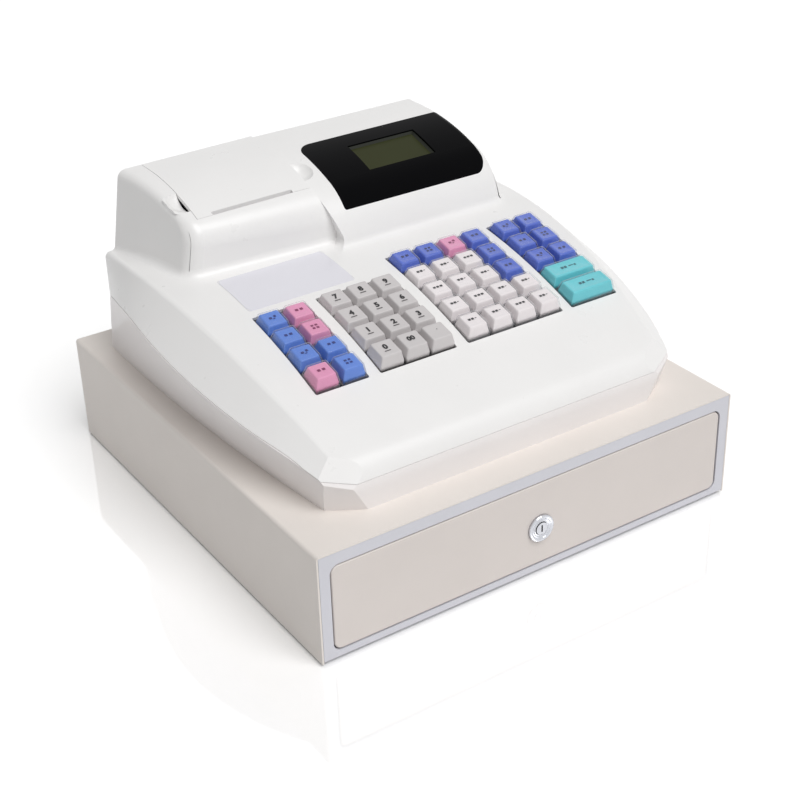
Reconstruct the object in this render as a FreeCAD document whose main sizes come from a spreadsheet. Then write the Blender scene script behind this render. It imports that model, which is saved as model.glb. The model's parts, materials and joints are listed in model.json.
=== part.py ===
"""Ticket register: an electronic cash register standing on its cash drawer.

Millimetres. +X runs to the right along the drawer's front, +Y to the back, +Z up.
The origin is on the floor, in the middle of the object's outline.
"""
import FreeCAD
import Part
import math
import os
import re
import Sketcher
from FreeCAD import Placement, Rotation, Vector

doc = FreeCAD.newDocument("TicketRegister")

# Driving dimensions, kept in the spreadsheet
DIMENSIONS = {
    # cash drawer
    "case_width": 410, "case_depth": 430, "case_top": 100, "case_base": 2, "sheet_steel": 1.5,
    "case_round": 3, "foot_radius": 11, "mouth_width": 388.6, "mouth_low": 9, "mouth_high": 88,
    "mouth_round": 8, "bezel_depth": 10, "front_gap": 1.3, "front_thick": 3.5,
    "tray_width": 372, "tray_low": 12, "tray_high": 78, "tray_back": 186,
    "runner_high": 48.1, "runner_reach": 6.3, "roller_radius": 8, "roller_axis": 39.8,
    "pin_radius": 2.5, "turning_gap": 0.05, "case_roller_place": -190, "drawer_roller_place": 180,
    "lock_place": 2, "lock_high": 44.5, "lock_flange": 12.25, "lock_barrel": 9.5,
    "lock_plug_radius": 5.5, "lock_proud": 3, "cam_reach": 36,
    "insert_front": -184, "insert_back": 183, "insert_high": 74, "pocket_count": 5,
    "pocket_wall": 3, "coin_back": -98, "coin_floor": 32, "bill_floor": 17,
    "clip_place": 165, "clip_high": 66, "clip_length": 62, "clip_slope": 45,
    "latch_place": 206, "latch_high": 48,
    # register shells
    "foot_half": 184.5, "foot_middle": 105, "foot_bow": 2100,
    "waist_half": 208.5, "waist_middle": 14, "waist_bow": 467,
    "crease_half": 182.5, "crease_middle": 80, "crease_bow": 1300,
    "deck_middle": 80, "deck_height": 201.5, "deck_bow": 550, "nose_radius": 28,
    "register_front": -183, "register_back": 180, "shell_thick": 2.5, "shell_seam": 0.5,
    "head_top": 264, "head_bend": 163.2, "head_bow": 226.2, "head_knee": 84.7,
    "printer_bow_left": 18.8, "printer_bow_right": 33, "display_bow_left": 56.8, "display_bow_right": 54,
    "head_left": 150.3, "head_left_taper": 0.117, "head_right": 153.5, "head_flare": 0.165,
    "head_edge": 8, "head_corner": 15, "head_root": 8, "head_root_back": 4, "head_skin": 3, "crease_round": 5,
    # printer and cover
    "cover_left": -134.5, "cover_right": -25, "cover_front": 77.5, "cover_gap": 0.4,
    "cover_pin_place": 176, "cover_pin_high": 259.5, "bump_height": 1.5,
    "slot_left": -120, "slot_right": -42, "slot_depth": 3.5,
    "roll_radius": 25, "roll_place": 135, "roll_high": 222, "spindle_radius": 4,
    "platen_radius": 7, "platen_place": 93, "platen_high": 231, "shaft_radius": 2,
    # display
    "window_left": -4, "window_right": 150.5, "window_front": 55, "window_rear": 137.5,
    "window_thick": 1.8, "lcd_left": 39, "lcd_right": 110, "lcd_front": 81, "lcd_rear": 118,
    # keyboard
    "key_pitch_across": 24.6, "key_pitch_along": 25.1, "key_slope": 13.5, "key_width": 22.6,
    "key_top_width": 16.4, "key_rise": 10.5, "key_shoulder": 2.6, "key_sunk": 5.5, "key_front": -112.7,
    "key_front_high": 167.7, "well_margin": 0.6, "stem_width": 6.4,
}
sheet = doc.addObject("Spreadsheet::Sheet", "Sizes")
for row, (alias, value) in enumerate(DIMENSIONS.items(), start=1):
    sheet.set(f"A{row}", alias.replace("_", " "))
    sheet.set(f"B{row}", str(value))
    sheet.setAlias(f"B{row}", alias)
doc.recompute()

NODES = {}


def size(alias):
    """The value of one cell of the sheet."""
    return float(sheet.get(alias))


def formula(text):
    """An expression for setExpression, from words that are aliases of the sheet."""
    return re.sub(r"[a-z]\w*", lambda word: "Sizes." + word.group(), str(text))


def bind(thing, **properties):
    """Tie properties of an object to formulas of the sheet's cells."""
    for name, text in properties.items():
        thing.setExpression(name, formula(text))
    return thing


def place(thing, x, y, z):
    """Tie an object's position to formulas."""
    for axis, text in zip("xyz", (x, y, z)):
        thing.setExpression("Placement.Base." + axis, formula(text))
    return thing


def block(name, length, width, height, x, y, z):
    """A box from its low corner."""
    thing = doc.addObject("Part::Box", name)
    bind(thing, Length=length, Width=width, Height=height)
    return place(thing, x, y, z)


def rod(name, radius, length, x, y, z, along="x"):
    """A cylinder that starts at a point and runs along +X, +Y or +Z."""
    thing = doc.addObject("Part::Cylinder", name)
    turn = {"x": Rotation(Vector(0, 1, 0), 90), "y": Rotation(Vector(1, 0, 0), -90), "z": Rotation()}
    thing.Placement = Placement(Vector(), turn[along])
    bind(thing, Radius=radius, Height=length)
    return place(thing, x, y, z)


def fuse(name, *things):
    """One solid from several."""
    thing = doc.addObject("Part::MultiFuse", name)
    thing.Shapes = list(things)
    return thing


def cut(name, base, *tools):
    """A base less its tools."""
    thing = doc.addObject("Part::Cut", name)
    thing.Base = base
    thing.Tool = tools[0] if len(tools) == 1 else fuse(name + "_tools", *tools)
    return thing


def group(name, *things):
    """Separate solids that share one node."""
    thing = doc.addObject("Part::Compound", name)
    thing.Links = list(things)
    return thing


def rounded(name, base, radius, chosen):
    """Round the edges of a base that the test picks out."""
    doc.recompute()
    thing = doc.addObject("Part::Fillet", name)
    thing.Base = base
    thing.Edges = [(i, radius, radius) for i, edge in enumerate(base.Shape.Edges, start=1) if chosen(edge)]
    base.Visibility = False
    return thing


def shaped(name, shape):
    """An object whose shape comes from Part's own functions."""
    thing = doc.addObject("Part::Feature", name)
    thing.Shape = shape
    return thing


def node(label, thing):
    """Give a sub-part its label, which names its file."""
    thing.Label = label
    NODES[label] = thing
    return thing


def middle(edge):
    """The point halfway along an edge."""
    return edge.valueAt((edge.FirstParameter + edge.LastParameter) / 2)


def runs_along(edge, axis):
    """True for a straight edge along the axis."""
    line = edge.Vertexes[-1].Point - edge.Vertexes[0].Point
    return abs(abs(line.normalize().dot(axis)) - 1) < 1e-6 if line.Length > 1e-6 else False


ALONG_X = Vector(1, 0, 0)
ALONG_Y = Vector(0, 1, 0)
ALONG_Z = Vector(0, 0, 1)


# Drawer case: folded top, sides and back, open to the front and below
def make_drawer_case():
    outside = block("case_outside", "case_width", "case_depth", "case_top - case_base",
                    "-case_width / 2", "-case_depth / 2", "case_base")
    half = size("case_width") / 2
    back = size("case_depth") / 2

    def corner(edge):
        m = middle(edge)
        on_side = abs(abs(m.x) - half) < 0.1
        on_back = abs(m.y - back) < 0.1
        on_top = abs(m.z - size("case_top")) < 0.1
        return on_side and (on_top or on_back) or on_top and on_back

    soft = rounded("case_soft", outside, size("case_round"), corner)
    hollow = block("case_hollow", "case_width - 2 * sheet_steel", "case_depth", "case_top - sheet_steel",
                   "-case_width / 2 + sheet_steel", "-case_depth / 2 - sheet_steel", "0")
    holes = [rod(f"case_screw_hole_{i}", "2.05", "sheet_steel + 2", x, "case_depth / 2 - sheet_steel - 1", "15", "y")
             for i, x in enumerate(SCREW_PLACES)]
    node("drawer_case", cut("drawer_case", soft, hollow, *holes))


SCREW_PLACES = ["-160", "-60", "60", "160"]
FLOOR_HOLE_PLACES = [("-150", "-150"), ("150", "-150"), ("-150", "150"), ("150", "150")]


# Case floor: pan with a flange at the back and the keeper that the lock's cam catches
def make_case_floor():
    plate = block("floor_plate", "case_width - 2 * sheet_steel - 1", "case_depth - sheet_steel - 12",
                  "sheet_steel", "-case_width / 2 + sheet_steel + 0.5", "-case_depth / 2 + 12", "case_base")
    flange = block("floor_flange", "case_width - 2 * sheet_steel - 12", "sheet_steel", "28",
                   "-case_width / 2 + sheet_steel + 6", "case_depth / 2 - 2 * sheet_steel", "case_base")
    keeper = block("lock_keeper", "22", "sheet_steel", "9", "lock_place - 11", "-197", "case_base")
    whole = fuse("floor_whole", plate, flange, keeper)
    holes = [rod(f"floor_hole_{i}", "2.75", "6", x, y, "0", "z") for i, (x, y) in enumerate(FLOOR_HOLE_PLACES)]
    holes += [rod(f"flange_hole_{i}", "2.05", "4", x, "case_depth / 2 - 2 * sheet_steel - 1", "15", "y")
              for i, x in enumerate(SCREW_PLACES)]
    node("case_floor", cut("case_floor", whole, *holes))


# Feet: four rubber pads under the case floor
def make_case_feet():
    pads = [rod(f"foot_{i}", "foot_radius", "case_base", x, y, "0", "z")
            for i, (x, y) in enumerate([("-180", "-185"), ("180", "-185"), ("-180", "190"), ("180", "190")])]
    node("case_feet", group("case_feet", *pads))


# Screws: pan heads at the back of the case and of the register
def make_screws():
    screws = []
    for i, x in enumerate(SCREW_PLACES):
        shank = rod(f"screw_shank_{i}", "2", "7", x, "case_depth / 2 - 7", "15", "y")
        head = rod(f"screw_head_{i}", "3.8", "lock_proud", x, "case_depth / 2", "15", "y")
        screws.append(fuse(f"case_screw_{i}", shank, head))
    for i, x in enumerate(["-110", "70"]):
        shank = rod(f"shell_shank_{i}", "2", "7", x, "register_back - 7", "125", "y")
        head = rod(f"shell_head_{i}", "3.8", "lock_proud", x, "register_back", "125", "y")
        screws.append(fuse(f"shell_screw_{i}", shank, head))
    node("screws", group("screws", *screws))


# Front bezel: the frame round the drawer's mouth
def make_front_bezel():
    frame = block("bezel_frame", "case_width - 2 * sheet_steel - 0.6", "bezel_depth",
                  "case_top - sheet_steel - case_base - 1.8", "-case_width / 2 + sheet_steel + 0.3",
                  "-case_depth / 2", "case_base + 1.6")
    mouth = block("bezel_mouth", "mouth_width", "bezel_depth + 4", "mouth_high - mouth_low",
                  "-mouth_width / 2", "-case_depth / 2 - 2", "mouth_low")
    soft = rounded("bezel_mouth_soft", mouth, size("mouth_round"), lambda edge: runs_along(edge, ALONG_Y))
    node("front_bezel", cut("front_bezel", frame, soft))


# Drawer front: a panel with soft corners and edges, padded from a sketch, bored for the lock
def make_drawer_front():
    body = doc.addObject("PartDesign::Body", "front_panel")
    plane = [f for f in body.Origin.OriginFeatures if f.Role == "XZ_Plane"][0]
    sketch = body.newObject("Sketcher::SketchObject", "front_outline")
    sketch.AttachmentSupport = [(plane, "")]
    sketch.MapMode = "FlatFace"
    half = size("mouth_width") / 2 - size("front_gap")
    low = size("mouth_low") + size("front_gap")
    high = size("mouth_high") - size("front_gap")
    corners = [Vector(-half, low, 0), Vector(half, low, 0), Vector(half, high, 0), Vector(-half, high, 0)]
    for i in range(4):
        sketch.addGeometry(Part.LineSegment(corners[i], corners[(i + 1) % 4]), False)
    for i in range(4):
        sketch.addConstraint(Sketcher.Constraint("Coincident", i, 2, (i + 1) % 4, 1))
        sketch.addConstraint(Sketcher.Constraint("Horizontal" if i % 2 == 0 else "Vertical", i))
    origin = -1
    limits = [("DistanceX", origin, 1, 1, 1, half, "mouth_width / 2 - front_gap"),
              ("DistanceX", 0, 1, origin, 1, half, "mouth_width / 2 - front_gap"),
              ("DistanceY", origin, 1, 0, 1, low, "mouth_low + front_gap"),
              ("DistanceY", origin, 1, 2, 1, high, "mouth_high - front_gap")]
    for kind, first, first_end, second, second_end, value, text in limits:
        index = sketch.addConstraint(Sketcher.Constraint(kind, first, first_end, second, second_end, value))
        sketch.setExpression(f"Constraints[{index}]", formula(text))
    pad = body.newObject("PartDesign::Pad", "front_pad")
    pad.Profile = sketch
    pad.setExpression("Length", formula("front_thick"))
    pad.Reversed = True
    doc.recompute()
    soft = body.newObject("PartDesign::Fillet", "front_corners")
    soft.Base = (pad, [f"Edge{i}" for i, edge in enumerate(pad.Shape.Edges, start=1) if runs_along(edge, ALONG_Y)])
    soft.setExpression("Radius", formula("mouth_round - front_gap"))
    doc.recompute()
    rim = body.newObject("PartDesign::Fillet", "front_rim")
    rim.Base = (soft, [f"Edge{i}" for i, edge in enumerate(soft.Shape.Edges, start=1)
                       if abs(edge.BoundBox.YMin) < 0.01 and abs(edge.BoundBox.YMax) < 0.01])
    rim.Radius = 1.2
    body.setExpression("Placement.Base.y", formula("-case_depth / 2"))
    doc.recompute()
    hole = rod("front_lock_hole", "lock_barrel + 0.05", "8", "lock_place", "-case_depth / 2 - 2", "lock_high", "y")
    node("drawer_front", cut("drawer_front", body, hole))


# Lock: a flanged barrel in the drawer front, and the plug that turns in it with its cam
def make_lock():
    flange = rod("lock_flange", "lock_flange", "lock_proud", "lock_place", "-case_depth / 2 - lock_proud",
                 "lock_high", "y")
    barrel = rod("lock_barrel", "lock_barrel", "22", "lock_place", "-case_depth / 2", "lock_high", "y")
    solid = fuse("lock_solid", flange, barrel)
    soft = rounded("lock_soft", solid, 1.2, lambda edge: abs(middle(edge).y + size("case_depth") / 2
                                                             + size("lock_proud")) < 0.01)
    bore = rod("lock_bore", "lock_plug_radius + turning_gap", "30", "lock_place", "-case_depth / 2 - 5",
               "lock_high", "y")
    node("lock_body", cut("lock_body", soft, bore))
    plug = rod("plug_core", "lock_plug_radius", "26", "lock_place", "-case_depth / 2 - 2.4", "lock_high", "y")
    cam = block("plug_cam", "cam_reach + 5", "1.5", "10", "lock_place - 5", "-case_depth / 2 + 23.6",
                "lock_high - 5")
    whole = fuse("plug_whole", plug, cam)
    slot = block("key_slot", "1.4", "9", "6.4", "lock_place - 0.7", "-case_depth / 2 - 3", "lock_high - 3.2")
    node("lock_plug", cut("lock_plug", whole, slot))


# Slide rails: a channel on each side of the case, with the front roller's pin riveted in
def make_slide_rails():
    rails = []
    for side, name in ((-1, "left"), (1, "right")):
        inner = "case_width / 2 - sheet_steel"
        low_x = f"-({inner})" if side < 0 else f"{inner} - 10.5"
        channel = block(f"{name}_channel", "10.5", "408", "20.7", low_x, "-203", "roller_axis - 10.3")
        groove_x = f"-({inner}) + sheet_steel" if side < 0 else f"{inner} - 12.5"
        groove = block(f"{name}_groove", "11", "410", "17.7", groove_x, "-204", "roller_axis - 8.8")
        open_channel = cut(f"{name}_open_channel", channel, groove)
        pin_x = f"-({inner}) + 1" if side < 0 else "187"
        pin = rod(f"{name}_rail_pin", "pin_radius", f"{inner} - 188", pin_x, "case_roller_place", "roller_axis")
        rails.append(fuse(f"{name}_rail", open_channel, pin))
    node("slide_rails", group("slide_rails", *rails))


def roller_pair(name, low, high, where):
    """Two nylon rollers on one axis, between two distances from the middle."""
    rollers = []
    for side in (-1, 1):
        x = low if side > 0 else f"-({high})"
        disc = rod(f"{name}_disc_{side + 1}", "roller_radius", f"{high} - {low}", x, where, "roller_axis")
        bore = rod(f"{name}_bore_{side + 1}", "pin_radius + turning_gap", f"{high} - {low} + 2", f"{x} - 1",
                   where, "roller_axis")
        rollers.append(cut(f"{name}_{side + 1}", disc, bore))
    node(name, group(name, *rollers))


# Drawer tray: folded box with runner flanges, roller pins and the tab that the latch holds
def make_drawer_tray():
    half = "tray_width / 2"
    front = "-case_depth / 2 + front_thick"
    outside = block("tray_outside", "tray_width", f"tray_back - ({front})", "tray_high - tray_low",
                    f"-{half}", front, "tray_low")
    hollow = block("tray_hollow", "tray_width - 2 * sheet_steel", f"tray_back - ({front}) - 2 * sheet_steel",
                   "tray_high", f"-{half} + sheet_steel", f"{front} + sheet_steel", "tray_low + sheet_steel")
    lock_hole = rod("tray_lock_hole", "lock_barrel + 0.3", "6", "lock_place", "-case_depth / 2 + 1", "lock_high", "y")
    cam_slot = block("cam_slot", "27", "8", "6", "lock_place - 7", "-195", "tray_low - 2")
    open_box = cut("tray_open_box", outside, hollow, lock_hole, cam_slot)
    pieces = [open_box]
    for side in (-1, 1):
        edge_x = half if side > 0 else f"-{half} - runner_reach"
        pieces.append(block(f"runner_{side + 1}", "runner_reach", "391", "sheet_steel", edge_x, "-205", "runner_high"))
        pin_x = f"{half} - 1" if side > 0 else f"-{half} - 14.2"
        pieces.append(rod(f"tray_pin_{side + 1}", "pin_radius", "15.2", pin_x, "drawer_roller_place", "roller_axis"))
    pieces.append(block("latch_tab", "20", "14.5", "sheet_steel", "-10", "tray_back - 0.5", "30"))
    pieces.append(block("latch_lip", "20", "sheet_steel", "7", "-10", "tray_back + 12.5", "30"))
    node("drawer_tray", fuse("drawer_tray", *pieces))


# Till insert: a moulded tray with coin cups in front and bill compartments behind
def pocket_places():
    """Left edges and width of the compartments."""
    count = int(size("pocket_count"))
    wall = size("pocket_wall")
    inside = size("tray_width") - 4 - 2 * wall
    width = (inside - (count - 1) * wall) / count
    return [-inside / 2 + i * (width + wall) for i in range(count)], width


def make_till_insert():
    left_edges, width = pocket_places()
    wall = size("pocket_wall")
    front, back = size("insert_front"), size("insert_back")
    high = size("insert_high")
    low = size("tray_low") + size("sheet_steel") + 0.3
    solid = Part.makeBox(size("tray_width") - 4, back - front, high - low,
                         Vector(-size("tray_width") / 2 + 2, front, low))
    for x in left_edges:
        coin = Part.makeBox(width, size("coin_back") - front - 2 * wall, 80, Vector(x, front + wall, size("coin_floor")))
        scoop = [e for e in coin.Edges if runs_along(e, ALONG_X) and middle(e).z < size("coin_floor") + 1]
        coin = coin.makeFillet(26, scoop)
        bill = Part.makeBox(width, back - size("coin_back") - wall, 80, Vector(x, size("coin_back"), size("bill_floor")))
        corners = [e for e in bill.Edges if middle(e).z < size("bill_floor") + 1]
        bill = bill.makeFillet(3, corners)
        solid = solid.cut(coin).cut(bill)
    bearing = Part.makeCylinder(2 + size("turning_gap"), size("tray_width") - 7,
                                Vector(-size("tray_width") / 2 + 3.5, size("clip_place"), size("clip_high")), ALONG_X)
    node("till_insert", shaped("till_insert", solid.cut(bearing)))


# Bill clips: five sprung arms on one rod that lies across the compartments
def make_bill_clips():
    left_edges, width = pocket_places()
    axis = Vector(0, size("clip_place"), size("clip_high"))
    half = size("tray_width") / 2 - 4.2
    solid = Part.makeCylinder(2, 2 * half, Vector(-half, axis.y, axis.z), ALONG_X)
    for x in left_edges:
        centre = x + width / 2
        arm = Part.makeBox(30, size("clip_length"), 2.4, Vector(centre - 15, -size("clip_length"), -1.2))
        hub = Part.makeCylinder(4, 30, Vector(centre - 15, 0, 0), ALONG_X)
        pad = Part.makeCylinder(3.2, 30, Vector(centre - 15, -size("clip_length"), 0), ALONG_X)
        clip = arm.fuse([hub, pad])
        clip.Placement = Placement(axis, Rotation(ALONG_X, size("clip_slope")))
        solid = solid.fuse(clip)
    node("bill_clips", shaped("bill_clips", solid))


# Latch: bracket, solenoid, plunger and the hook that holds the drawer shut
def make_latch():
    base = block("latch_base", "60", "24", "sheet_steel", "-30", "188", "case_base + sheet_steel")
    ears = [block(f"latch_ear_{i}", "sheet_steel", "22", "88.5", x, "189", "case_base + sheet_steel")
            for i, x in enumerate(["-12", "10.5"])]
    pivot = rod("latch_pin", "2", "24", "-12", "latch_place", "latch_high")
    passage = block("tab_passage", "30", "13", "11", "-15", "188.9", "28.5")
    node("latch_bracket", cut("latch_bracket", fuse("bracket_solid", base, *ears, pivot), passage))
    coil = block("coil_block", "21", "19", "26", "-10.5", "188", "66")
    well = rod("coil_bore", "3.6", "20", "0", "197", "65", "z")
    node("solenoid", cut("solenoid", coil, well))
    node("plunger", rod("plunger", "3.5", "28", "0", "197", "latch_high + 3.3", "z"))
    arm = block("lever_arm", "16", "19.5", "6", "-8", "190.5", "latch_high - 3")
    hub = rod("lever_hub", "4", "16", "-8", "latch_place", "latch_high")
    tooth = block("lever_tooth", "16", "3.5", "8", "-8", "190.5", "latch_high - 9")
    bore = rod("lever_bore", "2 + turning_gap", "18", "-9", "latch_place", "latch_high")
    node("latch_lever", cut("latch_lever", fuse("lever_solid", arm, hub, tooth), bore))


# Register shells: curves that give the outline
WAIST_LINE = [(-200, 118), (-183, 124), (-150, 138), (-110, 148), (-60, 158), (0, 168),
              (50, 174), (85, 175), (120, 170), (150, 162), (185, 148)]
waist_curve = Part.BSplineCurve()
waist_curve.interpolate([Vector(0, y, z) for y, z in WAIST_LINE])
TALL = 225
FAR = 250


def waist_height(y):
    """Height of the parting line between the shells, at a distance from front to back."""
    low, high = waist_curve.FirstParameter, waist_curve.LastParameter
    for _ in range(50):
        halfway = (low + high) / 2
        if waist_curve.value(halfway).y < y:
            low = halfway
        else:
            high = halfway
    return waist_curve.value(low).z


def foot_half_width(y):
    """Half the width of the register's foot, a shallow arc in plan."""
    return size("foot_half") - (y - size("foot_middle")) ** 2 / (2 * size("foot_bow"))


def waist_half_width(y):
    """Half the width at the parting line, an arc in plan."""
    return size("waist_half") - (y - size("waist_middle")) ** 2 / (2 * size("waist_bow"))


def crease_half_width(y):
    """Half the width of the deck at the crease above the bevel, a shallow arc in plan."""
    return size("crease_half") - (y - size("crease_middle")) ** 2 / (2 * size("crease_bow"))


def segment(start, end):
    return Part.LineSegment(start, end).toShape()


def arc(centre, radius, start, end):
    """The short arc about a centre in a plane x = constant."""
    a = math.atan2(start.z - centre.z, start.y - centre.y)
    b = math.atan2(end.z - centre.z, end.y - centre.y)
    half = (a + b) / 2
    through = centre + Vector(0, radius * math.cos(half), radius * math.sin(half))
    return Part.Arc(start, through, end).toShape()


def flanks(inset):
    """The sides of both shells: foot, waist and bevel, lofted from front to back."""
    base = size("case_top") if inset == 0 else size("case_top") - 10
    front, back, count = -196, size("register_back"), 9
    sections = []
    for i in range(count):
        y = front + (back - front) * i / (count - 1)
        z = waist_height(y)
        waist = waist_half_width(y)
        foot = foot_half_width(y)
        foot -= (waist - foot) * (size("case_top") - base) / (z - size("case_top")) + 1.08 * inset
        lean = (waist - crease_half_width(y)) / (deck_height_at(y) - z)
        top = waist - (TALL - z) * lean - math.sqrt(1 + lean * lean) * inset
        waist -= 1.15 * inset
        corners = [Vector(-foot, y, base), Vector(-waist, y, z), Vector(-top, y, TALL),
                   Vector(top, y, TALL), Vector(waist, y, z), Vector(foot, y, base)]
        sections.append(Part.makePolygon(corners + corners[:1]))
    return Part.makeLoft(sections, True, False)


def deck_centre():
    return Vector(0, size("deck_middle"), size("deck_height") - size("deck_bow"))


def deck_height_at(y, inset=0):
    """Height of the deck's arc."""
    centre = deck_centre()
    return centre.z + math.sqrt((size("deck_bow") - inset) ** 2 - (y - centre.y) ** 2)


def side_view(inset):
    """The space under the deck's arc and the nose, behind the front face."""
    centre = deck_centre()
    bow = size("deck_bow") - inset
    nose = size("nose_radius") - inset
    front = size("register_front") + inset
    back = size("register_back") - inset
    low = size("case_top") if inset == 0 else size("case_top") - 10
    nose_centre = Vector(0, front + nose, 0)
    nose_centre.z = centre.z + math.sqrt((bow - nose) ** 2 - (nose_centre.y - centre.y) ** 2)
    meet = centre + (nose_centre - centre) * (bow / (bow - nose))
    points = [Vector(0, front, low), Vector(0, front, nose_centre.z), meet,
              Vector(0, back, deck_height_at(back, inset)), Vector(0, back, low)]
    edges = [segment(points[0], points[1]), arc(nose_centre, nose, points[1], points[2]),
             arc(centre, bow, points[2], points[3]), segment(points[3], points[4]), segment(points[4], points[0])]
    face = Part.Face(Part.Wire(edges))
    face.translate(Vector(-FAR, 0, 0))
    return face.extrude(Vector(2 * FAR, 0, 0))


def head_section(x, inset, front_bow):
    """The head's side view: flat top, long bow, tighter front bow, then straight down."""
    bend = Vector(0, size("head_bend"), size("head_top") - size("head_bow"))
    lean = size("head_knee") / size("head_bow")
    knee_way = Vector(0, -lean, math.sqrt(1 - lean * lean))
    front_centre = bend + knee_way * (size("head_bow") - front_bow)
    bow = size("head_bow") - inset
    back = size("register_back") - inset
    top = size("head_top") - inset
    low = 185
    knee = bend + knee_way * bow
    brow = front_centre + Vector(0, inset - front_bow, 0)
    points = [Vector(0, back, top), Vector(0, bend.y, top), knee, brow, Vector(0, brow.y, low), Vector(0, back, low)]
    edges = [segment(points[0], points[1]), arc(bend, bow, points[1], knee),
             arc(front_centre, front_bow - inset, knee, brow), segment(brow, points[4]),
             segment(points[4], points[5]), segment(points[5], points[0])]
    wire = Part.Wire(edges)
    wire.translate(Vector(x, 0, 0))
    return wire


def head_bar(left, right):
    """A bar between two sections, each given by its place, inset and front bow."""
    return Part.makeLoft([head_section(*left), head_section(*right)], True, True)


def head_side(y, z, inset, right):
    """Where a side of the head stands; both flare downwards, and the left one narrows to the front."""
    flare = (257 - z) * size("head_flare")
    if right:
        return size("head_right") + flare - 1.02 * inset
    return -(size("head_left") + (y - 111) * size("head_left_taper") + flare) + 1.02 * inset


def head_wedge(inset):
    """The space between the head's two sides."""
    front, back = 20, size("register_back") - inset
    sections = []
    for z in (184, 275):
        corners = [Vector(head_side(front, z, inset, False), front, z), Vector(head_side(front, z, inset, True), front, z),
                   Vector(head_side(back, z, inset, True), back, z), Vector(head_side(back, z, inset, False), back, z)]
        sections.append(Part.makePolygon(corners + corners[:1]))
    return Part.makeLoft(sections, True, True)


def printer_side(shift=0):
    """The space left of the seam between the printer's and the display's side of the head."""
    corners = [(-FAR, 100), (-FAR, 400), (-25 + shift, 400), (-25 + shift, 247), (-6.4 + shift, 190), (-6.4 + shift, 100)]
    points = [Vector(x, -FAR, z) for x, z in corners]
    return Part.Face(Part.makePolygon(points + points[:1])).extrude(Vector(0, 2 * FAR, 0))


def head_form(inset):
    """The head: the printer's side stands a little proud on top, the display's side further forward."""
    proud = size("bump_height") * 1.17
    printer = head_bar((-175, inset, size("printer_bow_left")), (0, inset - proud, size("printer_bow_right")))
    display = head_bar((-40, inset, size("display_bow_left")), (175, inset, size("display_bow_right")))
    whole = display.cut(printer_side()).fuse(printer.common(printer_side()))
    return whole.common(head_wedge(inset)).Solids[0]


def head_hollow():
    """The space inside the head, with a full wall behind the step between its two sides."""
    skin = size("head_skin")
    printer = head_bar((-175, skin, size("printer_bow_left")), (175, skin, size("printer_bow_right") + 3))
    display = head_bar((-40, skin, size("display_bow_left")), (175, skin, size("display_bow_right")))
    whole = display.cut(printer_side(skin)).fuse(printer)
    return whole.common(head_wedge(skin)).removeSplitter().Solids[0]


def soft_head():
    """The head with rounded side rims, widening to rounder corners at the front."""
    head = shaped("head_sharp", head_form(0))
    small, large = size("head_edge"), size("head_corner")
    picked = []
    for i, edge in enumerate(head.Shape.Edges, start=1):
        m = middle(edge)
        on_side = min(abs(m.x - head_side(m.y, m.z, 0, right)) for right in (False, True)) < 0.02
        if not on_side or m.z < 186 or m.y > size("register_back") - 0.1:
            continue
        start, end = edge.Vertexes[0].Point, edge.Vertexes[-1].Point
        radii = [large if p.z < 236 else small for p in (start, end)]
        picked.append((i, *radii))
    soft = doc.addObject("Part::Fillet", "head_soft")
    soft.Base = head
    soft.Edges = picked
    doc.recompute()
    return soft.Shape.Solids[0]


def on_deck(point):
    centre = deck_centre()
    return abs(math.hypot(point.y - centre.y, point.z - centre.z) - size("deck_bow")) < 0.05


def beyond(a, b, c, inside):
    """A large block on the far side of the plane through three points, seen from an inside point."""
    normal = (b - a).cross(c - a).normalize()
    if normal.dot(inside - a) > 0:
        normal = normal * -1
    half_space = Part.makeBox(400, 400, 120, Vector(-200, -200, 0))
    half_space.Placement = Placement(a, Rotation(ALONG_Z, normal))
    return half_space


def corner_facets(inset):
    """Blocks that plane off the two front corners, below and above the parting line."""
    facets = []
    for side in (-1, 1):
        foot_front = Vector(side * 143, -180.5, 100)
        foot_side = Vector(side * 168, -164.5, 100)
        waist_corner = Vector(side * 169.5, -173, 127)
        nose_point = Vector(side * 152, -163, 149)
        waist_front = Vector(side * 142, -183, 126)
        inside = Vector(0, 0, 110)
        for a, b, c in ((foot_front, foot_side, waist_corner), (waist_corner, waist_front, nose_point)):
            inward = (b - a).cross(c - a).normalize()
            if inward.dot(inside - a) < 0:
                inward = inward * -1
            facets.append(beyond(a + inward * inset, b + inward * inset, c + inward * inset, inside))
    return facets


def outer_form():
    """The register's whole outside, with the head grown out of the deck."""
    form = flanks(0).common(side_view(0)).Solids[0]
    crease = [e for e in form.Edges if on_deck(middle(e)) and abs(middle(e).x) > 150]
    form = form.makeFillet(size("crease_round"), crease)
    form = form.cut(corner_facets(0)).Solids[0]
    form = form.fuse(soft_head()).removeSplitter().Solids[0]
    whole = shaped("register_sharp", form)
    root, back_root = size("head_root"), size("head_root_back")
    picked = []
    for i, edge in enumerate(form.Edges, start=1):
        m = middle(edge)
        if on_deck(m) and abs(m.x) < 172 and 20 < m.y < size("register_back") - 0.5:
            radii = [back_root if p.Point.y > 170 else root for p in (edge.Vertexes[0], edge.Vertexes[-1])]
            picked.append((i, *radii))
    soft = doc.addObject("Part::Fillet", "register_soft")
    soft.Base = whole
    soft.Edges = picked
    doc.recompute()
    return soft.Shape.Solids[0]


def inner_form():
    """The hollow inside the shells and the head."""
    thick = size("shell_thick")
    hollow = flanks(thick).common(side_view(thick)).Solids[0].cut(corner_facets(thick)).Solids[0]
    return hollow.fuse(head_hollow())


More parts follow.
